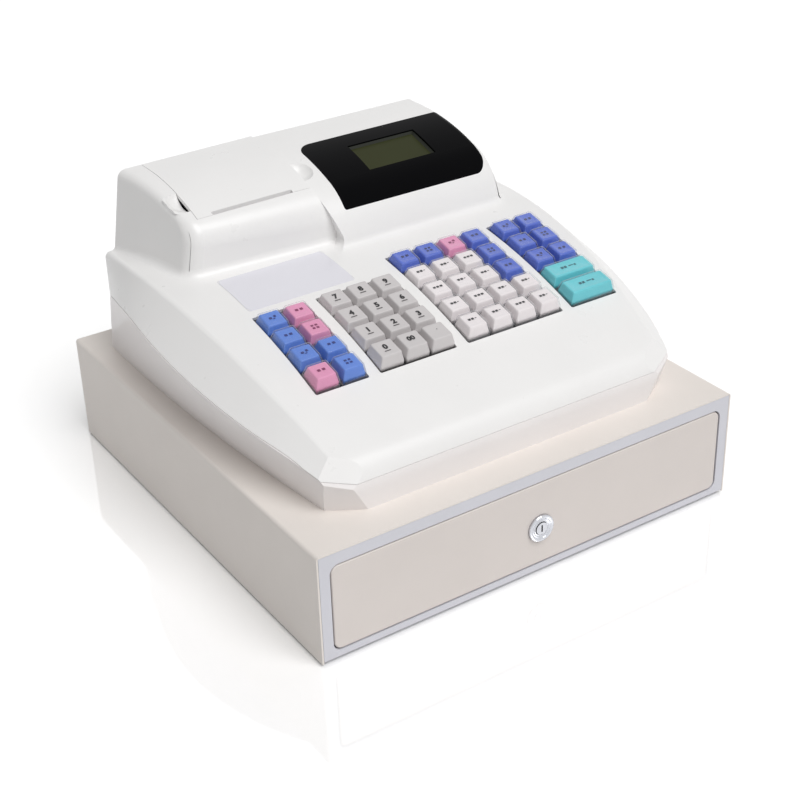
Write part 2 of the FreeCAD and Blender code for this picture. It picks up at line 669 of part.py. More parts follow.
def above_waist(gap):
    """The space above the parting line."""
    edge = waist_curve.copy()
    edge.translate(Vector(-FAR, 0, gap))
    start, end = edge.value(edge.FirstParameter), edge.value(edge.LastParameter)
    high = 400
    top_start, top_end = Vector(-FAR, start.y, high), Vector(-FAR, end.y, high)
    wire = Part.Wire([edge.toShape(), segment(end, top_end), segment(top_end, top_start), segment(top_start, start)])
    return Part.Face(wire).extrude(Vector(2 * FAR, 0, 0))


# Keyboard: places on the sloping key plane
KEY_TURN = Rotation(ALONG_X, size("key_slope"))
KEY_ORIGIN = Vector(0, size("key_front"), size("key_front_high"))
KEY_BLOCKS = [
    # name, middle, columns, rows
    ("left", -114.0, 2, 4),
    ("number", -42.0, 3, 4),
    ("department", 55.3, 4, 5),
    ("right", 138.6, 2, 5),
]


def on_key_plane(across, along, up=0):
    """A point given across, along and above the key plane."""
    return KEY_ORIGIN + KEY_TURN.multVec(Vector(across, along, up))


def deck_rise(along):
    """How far the deck's arc bulges above the key plane."""
    y = on_key_plane(0, along).y
    plane_height = on_key_plane(0, along).z
    return (deck_height_at(y) - plane_height) * math.cos(math.radians(size("key_slope")))


def key_centre(block_middle, columns, column, row):
    across = block_middle + (column - (columns - 1) / 2) * size("key_pitch_across")
    along = size("well_margin") + (row + 0.5) * size("key_pitch_along")
    return across, along


def keycap(across, along, columns_wide=1):
    """One keycap with its stem: a skirt in the well and a tapered top."""
    extra = (columns_wide - 1) * size("key_pitch_across")
    base_half = (size("key_width") + extra) / 2
    depth_half = size("key_width") / 2
    top_half = (size("key_top_width") + extra) / 2
    top_depth_half = size("key_top_width") / 2 - 0.4
    rise = deck_rise(along)
    sunk = -size("key_sunk")
    shoulder = rise + size("key_shoulder")
    top = rise + size("key_rise")
    back_shift = 1.2

    def ring(half_across, half_along, shift, up):
        corners = [Vector(-half_across, shift - half_along, up), Vector(half_across, shift - half_along, up),
                   Vector(half_across, shift + half_along, up), Vector(-half_across, shift + half_along, up)]
        return Part.makePolygon(corners + corners[:1])

    skirt = Part.makeBox(2 * base_half, 2 * depth_half, shoulder - sunk, Vector(-base_half, -depth_half, sunk))
    taper = Part.makeLoft([ring(base_half, depth_half, 0, shoulder),
                           ring(top_half, top_depth_half, back_shift, top)], True, True)
    cap = skirt.fuse(taper).removeSplitter()
    slants = [e for e in cap.Edges if middle(e).z > shoulder + 0.5]
    cap = cap.makeFillet(0.9, slants)
    stem = Part.makeBox(size("stem_width"), size("stem_width"), 15,
                        Vector(-size("stem_width") / 2, -size("stem_width") / 2, sunk - 14.8))
    cap = cap.fuse(stem)
    cap.Placement = Placement(on_key_plane(across, along), KEY_TURN)
    return cap


def make_keys():
    """One node per number key and wide key, and one per row elsewhere."""
    for name, block_middle, columns, rows in KEY_BLOCKS:
        for row in range(rows):
            if name == "right" and row < 2:
                across, along = key_centre(block_middle, 1, 0, row)
                label = ("wide_key_front", "wide_key_back")[row]
                node(label, shaped(label, keycap(across, along, 2)))
                continue
            caps = [keycap(*key_centre(block_middle, columns, column, row)) for column in range(columns)]
            if name == "number":
                for column, cap in enumerate(caps):
                    label = "key_" + NUMBER_KEYS[row][column]
                    node(label, shaped(label, cap))
            else:
                label = f"{name}_keys_row_{row + 1}"
                node(label, shaped(label, Part.makeCompound(caps)))


NUMBER_KEYS = [("0", "00", "point"), ("1", "2", "3"), ("4", "5", "6"), ("7", "8", "9")]


def key_slab(low, high, grow=0.0, corner=0.0):
    """Prisms over the key blocks between two heights above the key plane."""
    slabs = []
    for name, block_middle, columns, rows in KEY_BLOCKS:
        across = columns * size("key_pitch_across") + 2 * grow
        along = rows * size("key_pitch_along") + 2 * size("well_margin") + 2 * grow
        slab = Part.makeBox(across, along, high - low, Vector(block_middle - across / 2, -grow, low))
        if corner:
            uprights = [e for e in slab.Edges if runs_along(e, ALONG_Z)]
            slab = slab.makeFillet(corner, uprights)
        slab.Placement = Placement(KEY_ORIGIN, KEY_TURN)
        slabs.append(slab)
    return slabs


GUIDE_TOP = -10
GUIDE_LOW = -14
POST_PLACES = [(-83.3, 8), (-83.3, 94), (0.6, 50), (109.3, 8), (109.3, 118)]


def make_keyboard():
    """The guide plate that the key stems run in, and the contact board under it."""
    plate = Part.makeBox(308, 130, GUIDE_TOP - GUIDE_LOW, Vector(-143, -1, GUIDE_LOW))
    hole_half = size("stem_width") / 2 + 0.4
    for name, block_middle, columns, rows in KEY_BLOCKS:
        for row in range(rows):
            wide = name == "right" and row < 2
            for column in range(1 if wide else columns):
                across, along = key_centre(block_middle, 1 if wide else columns, column, row)
                plate = plate.cut(Part.makeBox(2 * hole_half, 2 * hole_half, 10,
                                               Vector(across - hole_half, along - hole_half, GUIDE_LOW - 2)))
    rim = Part.makeBox(308, 130, 14, Vector(-143, -1, GUIDE_LOW - 14)).cut(
        Part.makeBox(302, 124, 16, Vector(-140, 2, GUIDE_LOW - 15)))
    plate = plate.fuse(rim)
    plate.Placement = Placement(KEY_ORIGIN, KEY_TURN)
    node("key_guide", shaped("key_guide", plate))
    board = Part.makeBox(308, 130, 1.6, Vector(-143, -1, GUIDE_LOW - 15.6))
    board.Placement = Placement(KEY_ORIGIN, KEY_TURN)
    node("key_board", shaped("key_board", board))


def posts():
    """Bosses under the deck that the key guide hangs from."""
    things = []
    for across, along in POST_PLACES:
        boss = Part.makeCylinder(3, deck_rise(along) - 1 - GUIDE_TOP, Vector(across, along, GUIDE_TOP))
        boss.Placement = Placement(KEY_ORIGIN, KEY_TURN)
        things.append(boss)
    return things


def region(left, right, front, back, low=215, high=300):
    return Part.makeBox(right - left, back - front, high - low, Vector(left, front, low))


def window_region(grow=0.0):
    """The display window seen from above: soft corners at rear left and front right."""
    left, right = size("window_left") - grow, size("window_right") + grow
    front, rear = size("window_front") - grow, size("window_rear") + grow
    prism = region(left, right, front, rear)
    radii = {(left, rear): 15, (right, front): 13, (left, front): 2, (right, rear): 3}
    for (x, y), radius in radii.items():
        upright = [e for e in prism.Edges if runs_along(e, ALONG_Z)
                   and math.hypot(middle(e).x - x, middle(e).y - y) < 0.1]
        prism = prism.makeFillet(radius, upright)
    return prism


def lcd_box(grow, low, high):
    """A box square to the head's slope behind the display opening."""
    front, rear = size("lcd_front"), size("lcd_rear")
    surface = Vector(size("lcd_left"), front, 248.6)
    slope = math.degrees(math.atan2(259.5 - 248.6, rear - front))
    across = size("lcd_right") - size("lcd_left") + 2 * grow
    along = math.hypot(rear - front, 259.5 - 248.6) + 2 * grow
    box = Part.makeBox(across, along, high - low, Vector(-grow, -grow, low))
    box.Placement = Placement(surface, Rotation(ALONG_X, slope))
    return box


def thumb_scoops(radius):
    """Balls that hollow a finger recess on each side of the cover."""
    return [Part.makeSphere(radius, Vector(x, 98, 265)) for x in (size("cover_left") - 2, size("cover_right") + 2)]


def make_register():
    """Upper and lower shells, printer cover and display."""
    outside = outer_form()
    inside = inner_form()
    upper_space = above_waist(size("shell_seam"))
    lower_space = Part.makeBox(2 * FAR, 2 * FAR, 400, Vector(-FAR, -FAR, 0)).cut(above_waist(0))

    lower = outside.cut(inside).common(lower_space)
    holes = [Part.makeCylinder(2.05, 8, Vector(x, size("register_back") - 5, 125), ALONG_Y) for x in (-110, 70)]
    holes.append(Part.makeCylinder(5.5, 8, Vector(120, size("register_back") - 5, 118), ALONG_Y))
    lower = lower.cut(holes)
    node("lower_shell", shaped("lower_shell", lower))

    upper = outside.cut(inside)
    cups = [ball.common(head_form(0.5)) for ball in thumb_scoops(19.5)]
    upper = upper.fuse(cups).cut(thumb_scoops(17))
    gap = size("cover_gap")
    cover_space = region(size("cover_left"), size("cover_right"), size("cover_front"), size("register_back") + 2)
    opening = region(size("cover_left") - gap, size("cover_right") + gap, size("cover_front") - gap,
                     size("register_back") + 2, 236)
    keep_back = region(size("cover_left") - 1, size("cover_right") + 1, size("register_back") - size("head_skin"),
                       size("register_back") + 4, 230, size("cover_pin_high") - 5.6)
    upper = upper.cut(opening.cut(keep_back))
    pin = Vector(0, size("cover_pin_place"), size("cover_pin_high"))
    for x in (size("cover_left") - gap - 5, size("cover_right") + gap):
        ear = Part.makeBox(5, 7, 9, Vector(x, pin.y - 4, pin.z - 6)).common(outside)
        upper = upper.fuse(ear).cut(Part.makeCylinder(1.5 + size("turning_gap"), 5, Vector(x, pin.y, pin.z), ALONG_X))
    upper = upper.cut(outside.cut(head_form(size("window_thick"))).common(window_region(0.15)))
    upper = upper.cut([lcd_box(1.5, -20, 20)] + key_slab(-12, 24, 0.0, 1.5))
    for boss in posts():
        upper = upper.fuse(boss.common(outside))
    upper = upper.common(upper_space)
    node("upper_shell", shaped("upper_shell", upper))

    cover = outside.cut(inside).common(cover_space)
    cover = cover.cut(region(size("cover_left") - 1, size("cover_right") + 1, size("register_back") - size("head_skin")
                             - 0.1, size("register_back") + 4, 200, pin.z - 2.5))
    cover = cover.cut(region(size("slot_left"), size("slot_right"), size("cover_front") - 1,
                             size("cover_front") + size("slot_depth")))
    for x, pin_x in ((size("cover_left"), size("cover_left") - 4.4), (size("cover_right") - 4, size("cover_right") - 1)):
        lug = Part.makeBox(4, 5, 5, Vector(x, pin.y - 2.5, pin.z - 2)).common(outside)
        cover = cover.fuse(lug).fuse(Part.makeCylinder(1.5, 5.4, Vector(pin_x, pin.y, pin.z), ALONG_X))
    node("printer_cover", shaped("printer_cover", cover))

    window = outside.cut(head_form(size("window_thick"))).common(window_region())
    window = window.cut(lcd_box(0, -20, 20))
    node("display_window", shaped("display_window", window))
    glass = lcd_box(0.8, -5.2, -3.4)
    board = lcd_box(6, -8, -5.2)
    node("lcd_module", shaped("lcd_module", glass.fuse(board)))


# Parts inside the register
def make_insides():
    top = "case_top"
    plate = block("base_sheet", "320", "337", "sheet_steel", "-160", "-160", top)
    upstand = block("base_upstand", "250", "sheet_steel", "40", "-140", "register_back - shell_thick - sheet_steel", top)
    holes = [rod(f"base_hole_{i}", "2.05", "6", x, "register_back - 7", "125", "y") for i, x in enumerate(["-110", "70"])]
    node("base_plate", cut("base_plate", fuse("base_solid", plate, upstand), *holes))

    board = block("board_sheet", "190", "120", "1.6", "-70", "-120", f"{top} + 9.5")
    posts_under = [rod(f"board_post_{i}", "3", "9.5 - sheet_steel", x, y, f"{top} + sheet_steel", "z")
                   for i, (x, y) in enumerate([("-60", "-110"), ("110", "-110"), ("-60", "-10"), ("110", "-10")])]
    chips = [block(f"chip_{i}", "34", "14", "3", x, "-70", f"{top} + 11.1") for i, x in enumerate(["-40", "10", "60"])]
    node("main_board", fuse("main_board", board, *posts_under, *chips))

    core = block("supply_core", "70", "50", "44", "60", "90", f"{top} + sheet_steel")
    winding = block("supply_winding", "46", "62", "30", "72", "84", f"{top} + 8")
    node("power_supply", fuse("power_supply", core, winding))

    flange = rod("inlet_flange", "8", "2.5", "120", "register_back", "118", "y")
    bush = rod("inlet_bush", "5.45", "8", "120", "register_back - 8", "118", "y")
    bore = rod("inlet_bore", "3.5", "14", "120", "register_back - 9", "118", "y")
    node("cord_inlet", cut("cord_inlet", fuse("inlet_solid", flange, bush), bore))

    left, right = "slot_left - 4", "slot_right + 2.5"
    sheet_low = f"{top} + sheet_steel"
    cheeks = [block(f"cheek_{i}", "sheet_steel", "90", f"240 - ({sheet_low})", x, "80", sheet_low)
              for i, x in enumerate([left, right])]
    shelf = block("frame_shelf", f"{right} - ({left})", "82", "sheet_steel", left, "84", "185")
    head_bar = block("print_head", f"{right} - ({left})", "8", "14", left, "84", "206")
    spindle = rod("paper_spindle", "spindle_radius", f"{right} - ({left}) + 3", f"{left} - 1", "roll_place", "roll_high")
    shaft_holes = [rod(f"shaft_hole_{i}", "shaft_radius + turning_gap", "6", f"{x} - 2", "platen_place", "platen_high")
                   for i, x in enumerate([left, right])]
    node("printer_frame", cut("printer_frame", fuse("frame_solid", *cheeks, shelf, head_bar, spindle), *shaft_holes))

    width = "slot_right - slot_left - 2"
    paper = rod("roll_paper", "roll_radius", width, "slot_left + 1", "roll_place", "roll_high")
    eye = rod("roll_eye", "spindle_radius + turning_gap", "100", "slot_left - 5", "roll_place", "roll_high")
    node("paper_roll", cut("paper_roll", paper, eye))

    rubber = rod("platen_rubber", "platen_radius", width, "slot_left + 1", "platen_place", "platen_high")
    shaft = rod("platen_shaft", "shaft_radius", "slot_right - slot_left + 14", "slot_left - 10", "platen_place", "platen_high")
    node("platen_roller", fuse("platen_roller", rubber, shaft))
    motor = rod("motor_can", "8", "11", "slot_left - 16", "platen_place", "platen_high")
    motor_bore = rod("motor_bore", "shaft_radius + turning_gap", "9", "slot_left - 13", "platen_place", "platen_high")
    node("platen_motor", cut("platen_motor", motor, motor_bore))


make_drawer_case()
make_case_floor()
make_case_feet()
make_screws()
make_front_bezel()
make_drawer_front()
make_lock()
make_slide_rails()
roller_pair("case_rollers", "187.5", "192.7", "case_roller_place")
roller_pair("drawer_rollers", "193.8", "199.8", "drawer_roller_place")
make_drawer_tray()
make_till_insert()
make_bill_clips()
make_latch()
make_register()
make_keyboard()
make_keys()
make_insides()
doc.recompute()

# Check every object, then write one file for each node
for thing in doc.Objects:
    if any(word in thing.State for word in ("Invalid", "Error")):
        raise RuntimeError(f"{thing.Name} failed: {thing.State}")
for label, thing in NODES.items():
    if thing.Shape.isNull() or not thing.Shape.isValid():
        raise RuntimeError(f"{label} has no valid shape")
os.makedirs("parts", exist_ok=True)
for label, thing in NODES.items():
    thing.Shape.exportStep(f"parts/{label}.step")
    print(label, len(thing.Shape.Solids), round(thing.Shape.Volume))
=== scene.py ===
"""Looks of the ticket register: materials, keys, marks, lock, camera and light around the fixed frame."""
import json
import math
import bmesh
import bpy
from mathutils import Matrix, Vector


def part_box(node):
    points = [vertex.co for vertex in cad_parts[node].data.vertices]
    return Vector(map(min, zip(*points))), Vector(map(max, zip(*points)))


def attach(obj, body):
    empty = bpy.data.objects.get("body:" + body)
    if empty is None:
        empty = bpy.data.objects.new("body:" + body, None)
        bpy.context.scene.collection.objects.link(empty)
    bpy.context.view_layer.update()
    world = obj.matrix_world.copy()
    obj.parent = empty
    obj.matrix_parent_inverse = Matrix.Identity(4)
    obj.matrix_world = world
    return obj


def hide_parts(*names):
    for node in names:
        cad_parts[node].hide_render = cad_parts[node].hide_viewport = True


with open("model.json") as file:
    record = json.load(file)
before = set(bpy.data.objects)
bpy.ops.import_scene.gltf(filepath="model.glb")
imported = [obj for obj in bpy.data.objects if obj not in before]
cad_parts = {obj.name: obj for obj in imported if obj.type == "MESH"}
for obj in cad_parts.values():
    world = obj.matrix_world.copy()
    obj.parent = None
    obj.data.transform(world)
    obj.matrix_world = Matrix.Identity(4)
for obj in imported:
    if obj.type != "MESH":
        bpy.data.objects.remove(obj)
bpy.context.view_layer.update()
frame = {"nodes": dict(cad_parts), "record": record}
nodes = frame["nodes"]
MM = 0.001


# Small helpers
def linear(red, green, blue):
    """A screen colour, 0 to 255, as the linear colour that shaders take."""
    def channel(value):
        value /= 255
        return value / 12.92 if value <= 0.04045 else ((value + 0.055) / 1.055) ** 2.4
    return (channel(red), channel(green), channel(blue), 1.0)


def mesh_piece(name, points, faces, material, body, smooth=True):
    """A mesh from points in metres, riding on a body."""
    mesh = bpy.data.meshes.new(name)
    mesh.from_pydata([tuple(p) for p in points], [], faces)
    mesh.validate()
    piece = bpy.data.objects.new(name, mesh)
    bpy.context.scene.collection.objects.link(piece)
    if smooth:
        mesh.shade_smooth()
    mesh.materials.append(material)
    tidy = bmesh.new()
    tidy.from_mesh(mesh)
    bmesh.ops.recalc_face_normals(tidy, faces=tidy.faces)
    tidy.to_mesh(mesh)
    tidy.free()
    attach(piece, body)
    return piece


def block_piece(name, low, high, material, body, bevel=0.3 * MM, place=None):
    """A box with rounded edges, between two corners, moved by a placement if one is given."""
    xs, ys, zs = zip(low, high)
    points = [Vector((x, y, z)) for x in xs for y in ys for z in zs]
    if place is not None:
        points = [place @ p for p in points]
    faces = [(0, 1, 3, 2), (4, 6, 7, 5), (0, 4, 5, 1), (2, 3, 7, 6), (0, 2, 6, 4), (1, 5, 7, 3)]
    piece = mesh_piece(name, points, faces, material, body)
    soften(piece, bevel)
    return piece


def soften(piece, width, segments=3):
    """Round the sharp edges of a piece with a modifier."""
    bevel = piece.modifiers.new("soft_edges", "BEVEL")
    bevel.width = width
    bevel.segments = segments
    bevel.limit_method = "ANGLE"
    bevel.angle_limit = math.radians(35)
    bevel.harden_normals = True
    return piece


# Materials
def new_material(name):
    material = bpy.data.materials.new(name)
    material.use_nodes = True
    tree = material.node_tree
    shader = tree.nodes["Principled BSDF"]
    return material, tree, shader


def noise(tree, scale, detail=3.0, stretch=None):
    """Noise in the object's own space; stretch squeezes it along the axes."""
    place = tree.nodes.new("ShaderNodeTexCoord")
    source = place.outputs["Object"]
    if stretch is not None:
        mapping = tree.nodes.new("ShaderNodeMapping")
        mapping.inputs["Scale"].default_value = stretch
        tree.links.new(source, mapping.inputs["Vector"])
        source = mapping.outputs["Vector"]
    texture = tree.nodes.new("ShaderNodeTexNoise")
    texture.inputs["Scale"].default_value = scale
    texture.inputs["Detail"].default_value = detail
    tree.links.new(source, texture.inputs["Vector"])
    return texture


def ramp(tree, source, low, high, start=0.35, end=0.65):
    """Colours between low and high, led by a value."""
    node = tree.nodes.new("ShaderNodeValToRGB")
    node.color_ramp.elements[0].position = start
    node.color_ramp.elements[0].color = low
    node.color_ramp.elements[1].position = end
    node.color_ramp.elements[1].color = high
    tree.links.new(source, node.inputs["Fac"])
    return node.outputs["Color"]


def shade(colour, factor):
    return tuple(min(1.0, c * factor) for c in colour[:3]) + (1.0,)


def finish(name, colour, roughness=0.4, grain=900.0, depth=0.02, mottle=0.03, metal=0.0, specular=0.5,
           coat=0.0, stretch=None, patch=18.0, rough_play=0.06):
    """A moulded, painted or plated finish: faint mottling, uneven gloss and a fine grain."""
    material, tree, shader = new_material(name)
    shader.inputs["Metallic"].default_value = metal
    shader.inputs["Specular IOR Level"].default_value = specular
    shader.inputs["Coat Weight"].default_value = coat
    shader.inputs["Coat Roughness"].default_value = 0.08
    broad = noise(tree, patch, 4.0, stretch)
    tint = ramp(tree, broad.outputs["Fac"], shade(colour, 1 - mottle), shade(colour, 1 + mottle))
    tree.links.new(tint, shader.inputs["Base Color"])
    gloss = noise(tree, patch * 3, 3.0, stretch)
    spread = tree.nodes.new("ShaderNodeMapRange")
    spread.inputs["To Min"].default_value = max(0.02, roughness - rough_play)
    spread.inputs["To Max"].default_value = roughness + rough_play
    tree.links.new(gloss.outputs["Fac"], spread.inputs["Value"])
    tree.links.new(spread.outputs["Result"], shader.inputs["Roughness"])
    if depth > 0:
        fine = noise(tree, grain, 2.0, stretch)
        bump = tree.nodes.new("ShaderNodeBump")
        bump.inputs["Strength"].default_value = 0.35
        bump.inputs["Distance"].default_value = depth * MM
        tree.links.new(fine.outputs["Fac"], bump.inputs["Height"])
        tree.links.new(bump.outputs["Normal"], shader.inputs["Normal"])
    return material


def clear_finish(name):
    """Clear moulded plastic: seen through face on; glossier at a slant, and whiter there, where the white
    is a painted highlight for the bright rims.
    """
    material, tree, shader = new_material(name)
    shader.inputs["Base Color"].default_value = (0.92, 0.93, 0.96, 1.0)
    shader.inputs["Roughness"].default_value = 0.06
    shader.inputs["Specular IOR Level"].default_value = 0.6
    # Opacity of the near-white colour rises with slant: a painted highlight along the caps' edges.
    slant = tree.nodes.new("ShaderNodeLayerWeight")
    slant.inputs["Blend"].default_value = 0.35
    spread = tree.nodes.new("ShaderNodeMapRange")
    spread.inputs["From Min"].default_value = 0.3
    spread.inputs["From Max"].default_value = 0.85
    spread.inputs["To Min"].default_value = 0.03
    spread.inputs["To Max"].default_value = 0.9
    tree.links.new(slant.outputs["Facing"], spread.inputs["Value"])
    tree.links.new(spread.outputs["Result"], shader.inputs["Alpha"])
    return material


CASE = linear(236, 229, 223)
BLUE_LEFT = linear(92, 133, 216)
BLUE_RIGHT = linear(82, 108, 204)
PINK = linear(226, 152, 188)
CYAN = linear(104, 204, 214)
KEY_WHITE = linear(238, 232, 233)

FINISHES = {
    "case_paint": finish("case_paint", CASE, 0.48, 1400, 0.05, 0.012),
    "front_paint": finish("front_paint", linear(222, 214, 209), 0.42, 1400, 0.04, 0.012),
    "bezel_plastic": finish("bezel_plastic", linear(214, 214, 221), 0.38, 1100, 0.02, 0.012),
    "foot_rubber": finish("foot_rubber", linear(42, 42, 44), 0.75, 700, 0.05, 0.1),
    "zinc_steel": finish("zinc_steel", linear(196, 198, 202), 0.34, 500, 0.01, 0.07, metal=1.0, patch=60),
    "tray_steel": finish("tray_steel", linear(84, 84, 88), 0.5, 1200, 0.05, 0.05),
    "insert_plastic": finish("insert_plastic", linear(44, 44, 48), 0.55, 900, 0.08, 0.08),
    "nylon": finish("nylon", linear(232, 230, 222), 0.45, 700, 0.02, 0.03),
    "lock_chrome": finish("lock_chrome", linear(206, 208, 214), 0.1, 900, 0.0, 0.02, metal=1.0,
                          rough_play=0.03),
    "coil_dark": finish("coil_dark", linear(52, 46, 44), 0.5, 900, 0.05, 0.12, stretch=(1, 1, 12)),
    "shell_white": finish("shell_white", linear(241, 240, 239), 0.3, 1300, 0.012, 0.008),
    "shell_lower": finish("shell_lower", linear(240, 236, 235), 0.36, 1300, 0.014, 0.01),
    "window_black": finish("window_black", linear(7, 7, 9), 0.07, 900, 0.0, 0.04, specular=0.03,
                           rough_play=0.02),
    "lcd_olive": finish("lcd_olive", linear(55, 58, 35), 0.25, 900, 0.0, 0.03, specular=0.05),
    "guide_grey": finish("guide_grey", linear(150, 150, 154), 0.5, 900, 0.02, 0.03),
    "board_green": finish("board_green", linear(34, 104, 62), 0.35, 300, 0.02, 0.25, patch=120),
    "number_grey": finish("number_grey", linear(206, 202, 202), 0.42, 1500, 0.015, 0.012),
    "paper_white": finish("paper_white", linear(238, 238, 234), 0.8, 800, 0.03, 0.02, stretch=(1, 6, 6)),
    "supply_iron": finish("supply_iron", linear(86, 86, 90), 0.45, 500, 0.04, 0.15, metal=0.6,
                          stretch=(1, 1, 40)),
}
KEY_FINISHES = {
    "blue_left": finish("key_blue_left", BLUE_LEFT, 0.32, 1500, 0.01, 0.03),
    "blue_right": finish("key_blue_right", BLUE_RIGHT, 0.32, 1500, 0.01, 0.03),
    "pink": finish("key_pink", PINK, 0.32, 1500, 0.01, 0.03),
    "cyan": finish("key_cyan", CYAN, 0.32, 1500, 0.01, 0.03),
    "white": finish("key_white", KEY_WHITE, 0.32, 1500, 0.01, 0.015),
}
MARK_FINISHES = {
    "blue_left": finish("mark_navy", linear(28, 44, 118), 0.5, 900, 0.0, 0.05),
    "blue_right": finish("mark_dark_navy", linear(20, 30, 92), 0.5, 900, 0.0, 0.05),
    "pink": finish("mark_magenta", linear(122, 34, 84), 0.5, 900, 0.0, 0.05),
    "cyan": finish("mark_teal", linear(16, 92, 104), 0.5, 900, 0.0, 0.05),
    "white": finish("mark_black", linear(24, 22, 26), 0.5, 900, 0.0, 0.05),
    "grey": finish("mark_grey", linear(92, 88, 90), 0.5, 900, 0.0, 0.3, patch=900),
}
CLEAR = clear_finish("clear_cap")
LABEL_FILM = finish("label_film", linear(228, 227, 234), 0.22, 900, 0.004, 0.008)
# Near black that paints shade: the gap round the lock's plug and the screws' cross recesses.
PAINTED_SHADE_DARK = finish("painted_shade_dark", linear(24, 24, 26), 0.7, 700, 0.02, 0.1)
STRIP_GREY = finish("strip_grey", linear(196, 190, 194), 0.4, 1200, 0.02, 0.03)

for entry in frame["record"]["subparts"]:
    slot = entry["material_slot"]
    if slot in FINISHES:
        piece = nodes[entry["node"]]
        piece.data.materials.clear()
        piece.data.materials.append(FINISHES[slot])


# Keyboard: places on the sloping key plane
KEY_SLOPE = math.radians(13.5)
KEY_ORIGIN = Vector((0, -112.7, 167.7)) * MM
KEY_WIDTH = 22.6 * MM
KEY_PITCH = 24.6 * MM
TOP_SHRINK = 2.0 * MM
TOP_SHRINK_ALONG = 2.1 * MM
BACK_SHIFT = 0.5 * MM
KEY_FOOT = -3.0 * MM
FRONT_ROW_TOP = 11.0 * MM
TOP_FALL = 0.029
CLEAR_WALL = 0.95 * MM
CAP_ROUND = 1.3 * MM
STEM_HALF = 3.2 * MM
STEM_FOOT = -20.3 * MM
# share of the cap's height and of its taper, from the foot up
CAP_SIDE = [(0.0, 0.0), (0.38, 0.06), (0.44, 0.16), (0.62, 0.46), (0.82, 0.8), (0.95, 0.97)]
# distance in from the top's edge and depth below its crest, in mm: a rounded edge and a shallow dish
CAP_TOP = [(0.25, 0.22), (0.7, 0.0), (2.0, 0.105), (4.0, 0.24), (6.4, 0.3)]
MARK_ROUND = 0.35 * MM
PRINT_LIFT = 0.03 * MM
PRINT_BACK = 1.3 * MM
DIGIT_HEIGHT = 7.6 * MM
DOUBLE_DIGIT_HEIGHT = 6.8 * MM
DIGIT_WEIGHT = 0.05
KEY_PLACE = Matrix.Translation(KEY_ORIGIN) @ Matrix.Rotation(KEY_SLOPE, 4, "X")


def plane_box(node):
    """Low and high corners of a key node, measured across, along and above the key plane."""
    back = KEY_PLACE.inverted()
    points = [back @ v.co for v in nodes[node].data.vertices]
    low = Vector([min(p[i] for p in points) for i in range(3)])
    high = Vector([max(p[i] for p in points) for i in range(3)])
    return low, high


def rounded_ring(half_across, half_along, shift, up, radius, steps=5):
    """Points of a rectangle with round corners."""
    ring = []
    radius = min(radius, half_across * 0.9, half_along * 0.9)
    for corner, (sx, sy) in enumerate([(1, 1), (-1, 1), (-1, -1), (1, -1)]):
        cx, cy = sx * (half_across - radius), sy * (half_along - radius)
        for step in range(steps):
            angle = math.radians(90 * corner + 90 * step / (steps - 1))
            ring.append(Vector((cx + radius * math.cos(angle), shift + cy + radius * math.sin(angle), up)))
    return ring


def top_height(along):
    """How high a key's top stands above the key plane; the tops fall away slightly to the back."""
    return FRONT_ROW_TOP - TOP_FALL * along


def cap_points(half_across, half_along, top, inset):
    """Rings of a keycap, from its foot to the middle of its dished top."""
    rings = []
    tall = top - KEY_FOOT
    side_round = CAP_ROUND - 0.3 * inset
    for height, lean in CAP_SIDE:
        across = half_across - inset - TOP_SHRINK * lean
        along = half_along - inset - TOP_SHRINK_ALONG * lean
        up = KEY_FOOT + (tall - inset) * height
        rings.append(rounded_ring(across, along, BACK_SHIFT * lean, up, side_round))
    edge_across = half_across - inset - TOP_SHRINK
    edge_along = half_along - inset - TOP_SHRINK_ALONG
    crest = top - inset
    least = 0.3 * MM
    for inward, depth in CAP_TOP:
        across = max(edge_across - inward * MM, least)
        along = max(edge_along - inward * MM, least)
        rings.append(rounded_ring(across, along, BACK_SHIFT, crest - depth * MM, CAP_ROUND))
    return rings


def ring_faces(count, levels):
    """Quads between rings of count points each, stacked in the order of the points."""
    faces = []
    for level in range(levels - 1):
        here = level * count
        above = here + count
        for i in range(count):
            j = (i + 1) % count
            faces.append((here + i, here + j, above + j, above + i))
    return faces


def cap_mesh(name, centre, half_across, half_along, top, inset, material, body, stem=True):
    """One cap as a skin of rings, closed at its top and foot, with a square stem under it."""
    rings = cap_points(half_across, half_along, top, inset)
    count = len(rings[0])
    points = [KEY_PLACE @ (p + Vector((centre[0], centre[1], 0))) for ring in rings for p in ring]
    faces = ring_faces(count, len(rings))
    faces.append(tuple(range((len(rings) - 1) * count, len(rings) * count)))
    faces.append(tuple(reversed(range(count))))
    if stem:
        start = len(points)
        for up in (KEY_FOOT, STEM_FOOT):
            for sx, sy in [(-1, -1), (1, -1), (1, 1), (-1, 1)]:
                corner = Vector((centre[0] + sx * STEM_HALF, centre[1] + sy * STEM_HALF, up))
                points.append(KEY_PLACE @ corner)
        faces += [tuple(start + n for n in (i, (i + 1) % 4, 4 + (i + 1) % 4, 4 + i)) for i in range(4)]
        faces.append((start + 7, start + 6, start + 5, start + 4))
    return mesh_piece(name, points, faces, material, body)


def mark_mesh(name, quads, centre, up, material, body):
    """Small rounded marks printed on a key; each is across, along, half width, half height."""
    points, faces = [], []
    for across, along, half_wide, half_high in quads:
        ring = rounded_ring(half_wide * MM, half_high * MM, 0, 0, MARK_ROUND, 4)
        start = len(points)
        middle = Vector((centre[0] + across * MM, centre[1] + along * MM, up))
        points += [KEY_PLACE @ (middle + p) for p in ring]
        faces.append(tuple(range(start, start + len(ring))))
    return mesh_piece(name, points, faces, material, body, smooth=False)


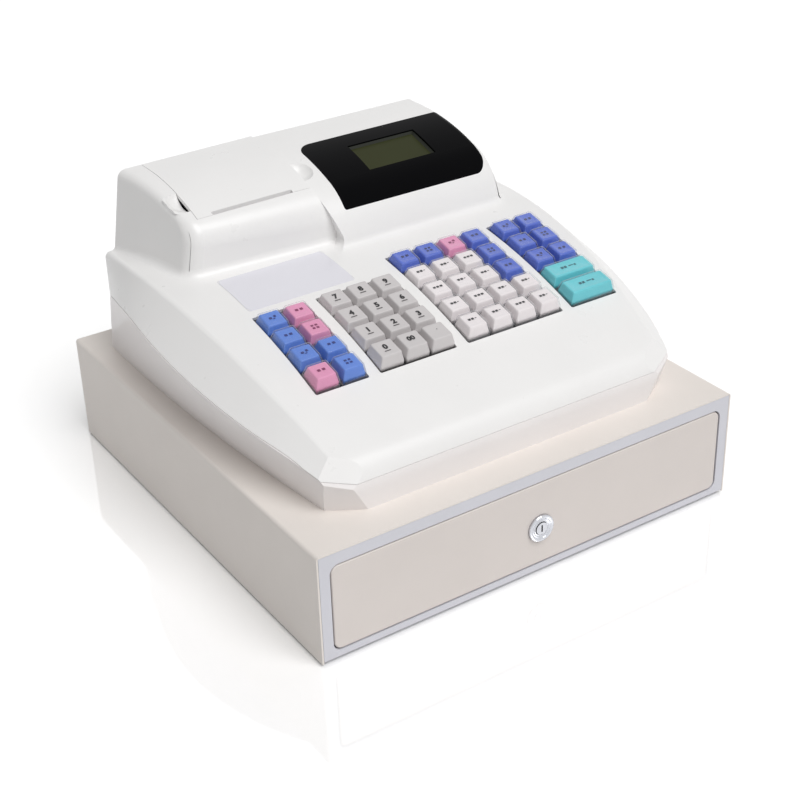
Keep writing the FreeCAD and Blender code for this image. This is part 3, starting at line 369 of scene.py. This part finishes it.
def text_mesh(name, words, height, centre, up, material, body):
    """A number on a key's top, as a flat mesh."""
    curve = bpy.data.curves.new(name + "_curve", "FONT")
    curve.body = words
    curve.size = height
    curve.align_x = "CENTER"
    curve.align_y = "CENTER"
    curve.offset = height * DIGIT_WEIGHT
    curve.resolution_u = 4
    holder = bpy.data.objects.new(name + "_holder", curve)
    bpy.context.scene.collection.objects.link(holder)
    bpy.context.view_layer.update()
    flat = bpy.data.meshes.new_from_object(holder.evaluated_get(bpy.context.evaluated_depsgraph_get()))
    bpy.data.objects.remove(holder)
    flat.name = name
    for vertex in flat.vertices:
        vertex.co = KEY_PLACE @ Vector((centre[0] + vertex.co.x, centre[1] + vertex.co.y, up))
    flat.materials.clear()
    flat.materials.append(material)
    piece = bpy.data.objects.new(name, flat)
    bpy.context.scene.collection.objects.link(piece)
    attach(piece, body)
    return piece


# Marks: across, along, half width and half height of each, in mm
PAIR = [(-2.2, 0.6, 1.35, 1.25), (2.2, 0.6, 1.35, 1.25)]
PAIR_AND_DASH = [(-2.9, 1.0, 1.2, 1.15), (0.3, 1.0, 1.2, 1.15), (3.3, 1.0, 0.9, 0.35)]
FOUR = [(-2.0, 1.9, 1.15, 1.0), (1.6, 1.9, 1.15, 1.0), (-2.0, -1.5, 1.15, 1.0), (1.6, -1.5, 1.15, 1.0)]
THREE = [(-3.4, 0.8, 1.2, 1.1), (0, 0.8, 1.2, 1.1), (3.4, 0.8, 1.2, 1.1)]
SLANT = [(2.4, 1.6, 1.1, 1.2), (-2.0, 0.4, 1.3, 1.2), (0.6, -1.2, 1.0, 0.5)]
WIDE = [(-7.0, 0.4, 1.3, 1.3), (-3.6, 0.4, 1.3, 1.3), (2.4, 0.6, 2.4, 0.5), (6.6, 0.2, 1.0, 1.0)]
DASH = [(-0.6, -4.9, 2.9, 0.5)]
DOT = [(1.0, 0.6, 0.5, 0.5)]
# Colours of the keys from left to right, front row first
ROW_COLOURS = {
    "left_keys_row_1": ["pink", "blue_left"],
    "left_keys_row_2": ["blue_left", "blue_left"],
    "left_keys_row_3": ["blue_left", "pink"],
    "left_keys_row_4": ["blue_left", "pink"],
    "department_keys_row_1": ["white"] * 4,
    "department_keys_row_2": ["white"] * 4,
    "department_keys_row_3": ["white"] * 3 + ["blue_right"],
    "department_keys_row_4": ["white"] * 3 + ["blue_right"],
    "department_keys_row_5": ["blue_right", "blue_right", "pink", "blue_right"],
    "right_keys_row_3": ["blue_right"] * 2,
    "right_keys_row_4": ["blue_right"] * 2,
    "right_keys_row_5": ["blue_right"] * 2,
    "wide_key_front": ["cyan"],
    "wide_key_back": ["cyan"],
}
MARK_TURN = [PAIR, FOUR, SLANT, PAIR]
DIGITS = {"key_0": "0", "key_00": "00", "key_point": "."}
DIGITS.update({f"key_{n}": str(n) for n in range(1, 10)})


def colour_keys():
    """Coloured keys: an insert under a clear cap, with generic marks on the insert."""
    for order, (node, colours) in enumerate(ROW_COLOURS.items()):
        low, high = plane_box(node)
        count = len(colours)
        half_across = (high.x - low.x - (count - 1) * KEY_PITCH) / 2
        half_along = KEY_WIDTH / 2
        along = (low.y + high.y) / 2
        for column, colour in enumerate(colours):
            centre = (low.x + half_across + column * KEY_PITCH, along)
            name = f"{node}_{column + 1}"
            top = top_height(along)
            insert = cap_mesh(name + "_insert", centre, half_across, half_along, top, CLEAR_WALL,
                              KEY_FINISHES[colour], node)
            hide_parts(node)
            cap_mesh(name + "_clear", centre, half_across, half_along, top, 0.0, CLEAR, node, stem=False)
            if count == 1:
                marks = WIDE
            elif colour == "white":
                marks = PAIR_AND_DASH if (order + column) % 3 else THREE
            else:
                marks = MARK_TURN[(order * 2 + column) % 4]
            printed = (centre[0], centre[1] + BACK_SHIFT)
            mark_mesh(name + "_marks", marks, printed, top - CLEAR_WALL + PRINT_LIFT, MARK_FINISHES[colour],
                      node)


def number_keys():
    """Opaque grey keys with digits, and a dash under each single digit."""
    for node, words in DIGITS.items():
        low, high = plane_box(node)
        centre = ((low.x + high.x) / 2, (low.y + high.y) / 2)
        half = KEY_WIDTH / 2
        top = top_height(centre[1])
        cap = cap_mesh(node + "_cap", centre, half, half, top, 0.0, FINISHES["number_grey"], node)
        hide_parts(node)
        up = top + PRINT_LIFT
        printed = (centre[0], centre[1] + BACK_SHIFT + PRINT_BACK)
        if words == ".":
            mark_mesh(node + "_mark", DOT, printed, up, MARK_FINISHES["grey"], node)
            continue
        height = DIGIT_HEIGHT if len(words) == 1 else DOUBLE_DIGIT_HEIGHT
        text_mesh(node + "_digit", words, height, printed, up, MARK_FINISHES["white"], node)
        if len(words) == 1:
            mark_mesh(node + "_dash", DASH, printed, up, MARK_FINISHES["grey"], node)


colour_keys()
number_keys()


# Label window: a thin film on the deck's arc, behind the number keys
DECK_CENTRE = Vector((0, 80, -348.5)) * MM
DECK_BOW = 550 * MM
LABEL_LEFT, LABEL_RIGHT = -135.8 * MM, -33.4 * MM
LABEL_FRONT, LABEL_BACK = -5.5 * MM, 50.3 * MM
LABEL_ROUND = 3.0 * MM
LABEL_EDGE = 0.25 * MM
LABEL_UP = 0.22 * MM
LABEL_STRIPS = 10


def deck_height(y, above=0.0):
    return DECK_CENTRE.z + math.sqrt((DECK_BOW + above) ** 2 - (y - DECK_CENTRE.y) ** 2)


def label_film():
    """The film: a rim of three rings that rises from the deck, and strips across inside it."""
    middle = ((LABEL_LEFT + LABEL_RIGHT) / 2, (LABEL_FRONT + LABEL_BACK) / 2)
    half_across = (LABEL_RIGHT - LABEL_LEFT) / 2
    half_along = (LABEL_BACK - LABEL_FRONT) / 2
    points = []
    for shrink, above in [(0.0, -0.1 * MM), (0.0, 0.12 * MM), (LABEL_EDGE, LABEL_UP)]:
        ring = rounded_ring(half_across - shrink, half_along - shrink, 0, 0, LABEL_ROUND, 7)
        for p in ring:
            y = middle[1] + p.y
            points.append(Vector((middle[0] + p.x, y, deck_height(y, above))))
    faces = ring_faces(len(points) // 3, 3)
    start = len(points)
    for row in range(LABEL_STRIPS + 1):
        y = LABEL_FRONT + LABEL_EDGE + 2 * (half_along - LABEL_EDGE) * row / LABEL_STRIPS
        reach = half_across - LABEL_EDGE
        near = min(y - LABEL_FRONT, LABEL_BACK - y)
        if near < LABEL_ROUND:
            reach -= LABEL_ROUND - math.sqrt(max(0.0, LABEL_ROUND ** 2 - (LABEL_ROUND - near) ** 2))
        for x in (middle[0] - reach, middle[0] + reach):
            points.append(Vector((x, y, deck_height(y, LABEL_UP))))
    for row in range(LABEL_STRIPS):
        corner = start + 2 * row
        faces.append((corner, corner + 1, corner + 3, corner + 2))
    return mesh_piece("label_film", points, faces, LABEL_FILM, "case", smooth=False)


label_film()


# Display: a dark frame under the window round the glass
LCD_CORNER = Vector((39, 81, 248.6)) * MM
LCD_ACROSS = 71 * MM
LCD_SLOPE = math.atan2(259.5 - 248.6, 118 - 81)
LCD_ALONG = math.hypot(37, 10.9) * MM
LCD_PLACE = Matrix.Translation(LCD_CORNER) @ Matrix.Rotation(LCD_SLOPE, 4, "X")
GASKET = finish("gasket", linear(44, 46, 40), 0.45, 900, 0.02, 0.05, specular=0.1)


def display_frame():
    """Four sloping walls from the window's underside down to the edge of the glass."""
    wide = 0.6 * MM
    wall = 2.2 * MM
    deep = -3.45 * MM
    high = -1.2 * MM
    outer = [(-wide, -wide), (LCD_ACROSS + wide, -wide),
             (LCD_ACROSS + wide, LCD_ALONG + wide), (-wide, LCD_ALONG + wide)]
    inner = [(wall, wall), (LCD_ACROSS - wall, wall),
             (LCD_ACROSS - wall, LCD_ALONG - wall), (wall, LCD_ALONG - wall)]
    points = [LCD_PLACE @ Vector((x, y, high)) for x, y in outer]
    points += [LCD_PLACE @ Vector((x, y, deep)) for x, y in inner]
    faces = ring_faces(4, 2)
    frame_piece = mesh_piece("display_frame", points, faces, GASKET, "case", smooth=False)
    thick = frame_piece.modifiers.new("thickness", "SOLIDIFY")
    thick.thickness = 0.3 * MM
    return frame_piece


display_frame()


# Lock: turned flange with grooves, in the drawer's front
def lathe(name, profile, axis_point, material, body, steps=72):
    """A turned piece about an axis along Y; the profile is radius and distance along Y, in mm."""
    points = []
    for radius, along in profile:
        for step in range(steps):
            angle = 2 * math.pi * step / steps
            turned = Vector((radius * math.cos(angle), along, radius * math.sin(angle)))
            points.append(axis_point + turned * MM)
    return mesh_piece(name, points, ring_faces(steps, len(profile)), material, body)


def lock():
    """The lock's body with its turned rings, and a near-black ring of painted shade in the gap round the
    plug.
    """
    low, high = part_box("lock_body")
    centre = Vector(((low.x + high.x) / 2, low.y, (low.z + high.z) / 2))
    bore = [(5.65, 20), (5.65, 1.6), (5.9, 1.2)]
    grooves = [(6.6, 1.1), (6.9, 1.4), (7.3, 1.4), (7.6, 0.9), (8.3, 0.7), (8.7, 0.9), (8.9, 1.1)]
    rim = [(9.2, 0.9), (9.6, 0.35), (10.3, 0.05), (11.0, 0.05), (11.7, 0.35), (12.1, 0.95), (12.25, 1.7)]
    barrel = [(12.25, 3.0), (9.5, 3.05), (9.5, 25), (5.65, 25), (5.65, 20)]
    profile = bore + grooves + rim + barrel
    body = lathe("lock_turned", profile, centre, FINISHES["lock_chrome"], "drawer")
    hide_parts("lock_body")
    # A thin near-black ring inside the mouth of the bore: painted shade of the gap round the plug.
    gap = [(5.52, 0.62), (5.64, 0.62), (5.64, 2.4), (5.52, 2.4), (5.52, 0.62)]
    lathe("lock_plug_gap_painted_shade", gap, centre, PAINTED_SHADE_DARK, "drawer")


lock()


# Paper exit: tear strip in the cover's slot
SLOT_PLACE = Matrix.Translation(Vector((0, 78.1, 245.3)) * MM) @ Matrix.Rotation(math.radians(21), 4, "X")


def tear_strip():
    low = Vector((-119.6, 0, -1.4)) * MM
    high = Vector((-42.4, 2.4, -0.3)) * MM
    block_piece("tear_strip", low, high, STRIP_GREY, "printer_cover", 0.25 * MM, SLOT_PLACE)


tear_strip()


# Screw heads: cross recesses, drawn as near-black blades of painted shade
CASE_SCREWS = [(x, 218, 15) for x in (-160, -60, 60, 160)]
SHELL_SCREWS = [(x, 183, 125) for x in (-110, 70)]


def screw_recesses():
    """Two crossed near-black blades sunk in each head, their faces a painted shade of the cross recess;
    each head turned a little further than the last.
    """
    low = Vector((-1.9, -1.2, -0.4)) * MM
    high = Vector((1.9, 0.03, 0.4)) * MM
    for index, point in enumerate(CASE_SCREWS + SHELL_SCREWS):
        for turn in (35 + 20 * index, 125 + 20 * index):
            place = Matrix.Translation(Vector(point) * MM) @ Matrix.Rotation(math.radians(turn), 4, "Y")
            # Each blade is a near-black block that paints the recess's shade on the head.
            block_piece(f"screw_{index + 1}_cross_{turn}", low, high, PAINTED_SHADE_DARK, "case", 0.1 * MM, place)


screw_recesses()


# Floor, light and camera
FLOOR_REACH = 6.0
FLOOR_BOUNCE = (0.6, 0.6, 0.6, 1)
FLOOR_SEEN = (1.3, 1.3, 1.3, 1)
FLOOR_GLOSS = 0.25
SKY_SOFT = 0.33
SKY_WHITE = 1.0
WHITE = (1, 1, 1, 1)


def light_path_mix(tree):
    """1 for camera, glossy and transmission rays, otherwise 0."""
    path = tree.nodes.new("ShaderNodeLightPath")
    first = tree.nodes.new("ShaderNodeMath")
    first.operation = "MAXIMUM"
    second = tree.nodes.new("ShaderNodeMath")
    second.operation = "MAXIMUM"
    tree.links.new(path.outputs["Is Camera Ray"], first.inputs[0])
    tree.links.new(path.outputs["Is Glossy Ray"], first.inputs[1])
    tree.links.new(first.outputs["Value"], second.inputs[0])
    tree.links.new(path.outputs["Is Transmission Ray"], second.inputs[1])
    return second.outputs["Value"]


def make_floor():
    """A pale floor that darkens only under the object's shadow and mirrors it faintly."""
    corners = [(sx * FLOOR_REACH, sy * FLOOR_REACH, 0) for sx, sy in [(-1, -1), (1, -1), (1, 1), (-1, 1)]]
    mesh = bpy.data.meshes.new("floor")
    mesh.from_pydata(corners, [], [(0, 1, 2, 3)])
    floor = bpy.data.objects.new("floor", mesh)
    bpy.context.scene.collection.objects.link(floor)
    material = bpy.data.materials.new("floor")
    material.use_nodes = True
    tree = material.node_tree
    tree.nodes.clear()
    out = tree.nodes.new("ShaderNodeOutputMaterial")
    diffuse = tree.nodes.new("ShaderNodeBsdfDiffuse")
    tint = tree.nodes.new("ShaderNodeMix")
    tint.data_type = "RGBA"
    tint.inputs["A"].default_value = FLOOR_BOUNCE
    tint.inputs["B"].default_value = FLOOR_SEEN
    tree.links.new(light_path_mix(tree), tint.inputs["Factor"])
    tree.links.new(tint.outputs["Result"], diffuse.inputs["Color"])
    gloss = tree.nodes.new("ShaderNodeBsdfGlossy")
    gloss.inputs["Roughness"].default_value = 0.05
    gloss.inputs["Color"].default_value = WHITE
    both = tree.nodes.new("ShaderNodeMixShader")
    both.inputs["Fac"].default_value = FLOOR_GLOSS
    tree.links.new(diffuse.outputs["BSDF"], both.inputs[1])
    tree.links.new(gloss.outputs["BSDF"], both.inputs[2])
    tree.links.new(both.outputs["Shader"], out.inputs["Surface"])
    mesh.materials.append(material)


def make_world():
    """A plain soft sky: dimmer as light than as backdrop and reflection."""
    world = bpy.data.worlds.new("studio")
    bpy.context.scene.world = world
    world.use_nodes = True
    tree = world.node_tree
    tree.nodes.clear()
    out = tree.nodes.new("ShaderNodeOutputWorld")
    soft = tree.nodes.new("ShaderNodeBackground")
    soft.inputs["Color"].default_value = WHITE
    soft.inputs["Strength"].default_value = SKY_SOFT
    white = tree.nodes.new("ShaderNodeBackground")
    white.inputs["Color"].default_value = WHITE
    white.inputs["Strength"].default_value = SKY_WHITE
    both = tree.nodes.new("ShaderNodeMixShader")
    tree.links.new(light_path_mix(tree), both.inputs["Fac"])
    tree.links.new(soft.outputs["Background"], both.inputs[1])
    tree.links.new(white.outputs["Background"], both.inputs[2])
    tree.links.new(both.outputs["Shader"], out.inputs["Surface"])


def make_sun(name, towards, strength, spread):
    light = bpy.data.lights.new(name, "SUN")
    light.energy = strength
    light.angle = math.radians(spread)
    sun = bpy.data.objects.new(name, light)
    sun.rotation_mode = "QUATERNION"
    sun.rotation_quaternion = Vector(towards).to_track_quat("Z", "Y")
    bpy.context.scene.collection.objects.link(sun)


CAMERA_POINT = Vector((-660.49, -1038.67, 765.79)) * MM
CAMERA_FORWARD = Vector((0.471458, 0.729522, -0.495505)).normalized()
CAMERA_UP = Vector((0.295049, 0.399008, 0.868181)).normalized()


def make_camera():
    right = CAMERA_FORWARD.cross(CAMERA_UP)
    data = bpy.data.cameras.new("camera")
    data.lens = 71.25
    data.sensor_width = 36
    data.sensor_fit = "HORIZONTAL"
    data.clip_end = 50
    camera = bpy.data.objects.new("camera", data)
    turn = Matrix((right, CAMERA_UP, -CAMERA_FORWARD)).transposed().to_4x4()
    camera.matrix_world = Matrix.Translation(CAMERA_POINT) @ turn
    bpy.context.scene.collection.objects.link(camera)
    bpy.context.scene.camera = camera


make_floor()
make_world()
make_sun("key_light", (0.06, -0.32, 0.52), 1.93, 40)
make_camera()
bpy.context.scene.view_settings.view_transform = "Standard"
